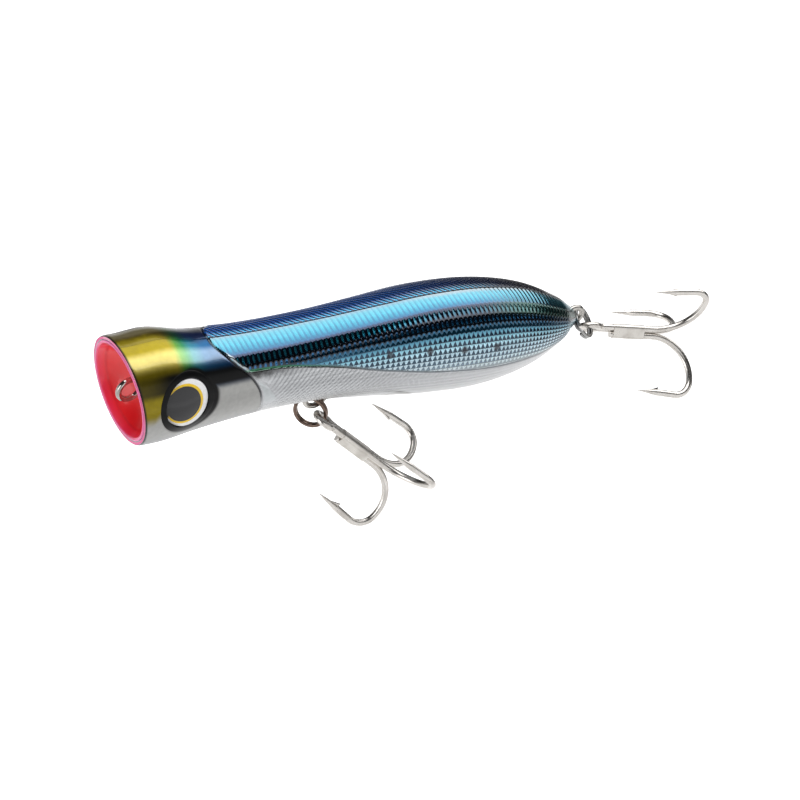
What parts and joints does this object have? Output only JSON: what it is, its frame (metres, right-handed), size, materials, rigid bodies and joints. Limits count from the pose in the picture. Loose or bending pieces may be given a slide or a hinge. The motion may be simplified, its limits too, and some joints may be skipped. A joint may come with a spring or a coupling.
{
  "type": "topwater popper lure",
  "caption": "Floating fishing lure with a cupped mouth that pops and spits water on the surface, with treble hooks swinging from split rings on a through wire.",
  "frame": {"origin": "centre of the tow eye's hole, in the mouth cup", "axes": "+X along the body to the tail, +Z to the fish's back, -Y to the fish's left"},
  "size_m": [0.1562, 0.0373, 0.0544],
  "materials": {
    "left_shell": "vacuum-metallised ABS, blue and silver, moulded scales",
    "right_shell": "vacuum-metallised ABS, blue and silver, moulded scales",
    "mouth_cup": "red gloss ABS",
    "through_wire": "bent stainless spring wire",
    "left_eye_disc": "printed eye",
    "right_eye_disc": "printed eye",
    "left_eye_lens": "clear epoxy dome",
    "right_eye_lens": "clear epoxy dome",
    "belly_ballast": "turned weight",
    "tail_ballast": "turned weight",
    "rattle_ball_front": "steel ball",
    "rattle_ball_mid": "steel ball",
    "rattle_ball_rear": "steel ball",
    "belly_split_ring": "dark nickel stainless",
    "tail_split_ring": "nickel stainless",
    "belly_double_hook": "nickel-plated hook wire",
    "belly_single_hook": "nickel-plated hook wire",
    "belly_hook_braze": "nickel-plated braze",
    "tail_double_hook": "nickel-plated hook wire",
    "tail_single_hook": "nickel-plated hook wire",
    "tail_hook_braze": "nickel-plated braze"
  },
  "bodies": {
    "lure": {"left_shell": "left_shell", "right_shell": "right_shell", "mouth_cup": "mouth_cup", "through_wire": "through_wire", "left_eye_disc": "left_eye_disc", "right_eye_disc": "right_eye_disc", "left_eye_lens": "left_eye_lens", "right_eye_lens": "right_eye_lens", "belly_ballast": "belly_ballast", "tail_ballast": "tail_ballast"},
    "rattle": {"rattle_ball_front": "rattle_ball_front", "rattle_ball_mid": "rattle_ball_mid", "rattle_ball_rear": "rattle_ball_rear"},
    "belly_ring": {"belly_split_ring": "belly_split_ring"},
    "belly_hook": {"belly_double_hook": "belly_double_hook", "belly_single_hook": "belly_single_hook", "belly_hook_braze": "belly_hook_braze"},
    "tail_ring": {"tail_split_ring": "tail_split_ring"},
    "tail_hook": {"tail_double_hook": "tail_double_hook", "tail_single_hook": "tail_single_hook", "tail_hook_braze": "tail_hook_braze"}
  },
  "joints": [
    {"name": "belly_ring_swing", "type": "hinge", "parent": "lure", "child": "belly_ring", "pos_m": [0.0496, 0, -0.01329], "axis": [1, 0, 0], "range_deg": [-20, 10]},
    {"name": "belly_hook_swing", "type": "hinge", "parent": "belly_ring", "child": "belly_hook", "pos_m": [0.05185, -0.00256, -0.0158], "axis": [0.171, -0.1943, 0.9659], "range_deg": [-50, 50]},
    {"name": "tail_ring_swing", "type": "hinge", "parent": "lure", "child": "tail_ring", "pos_m": [0.11883, 0, 0.00051], "axis": [0.4226, 0, 0.9063], "range_deg": [-15, 20]},
    {"name": "tail_hook_swing", "type": "hinge", "parent": "tail_ring", "child": "tail_hook", "pos_m": [0.12285, -0.00037, -0.0025], "axis": [0.2297, 0.8817, 0.412], "range_deg": [-50, 50]},
    {"name": "rattle_slide", "type": "slide", "parent": "lure", "child": "rattle", "axis": [1, 0, 0], "range_m": [-0.0055, 0.0055]}
  ]
}
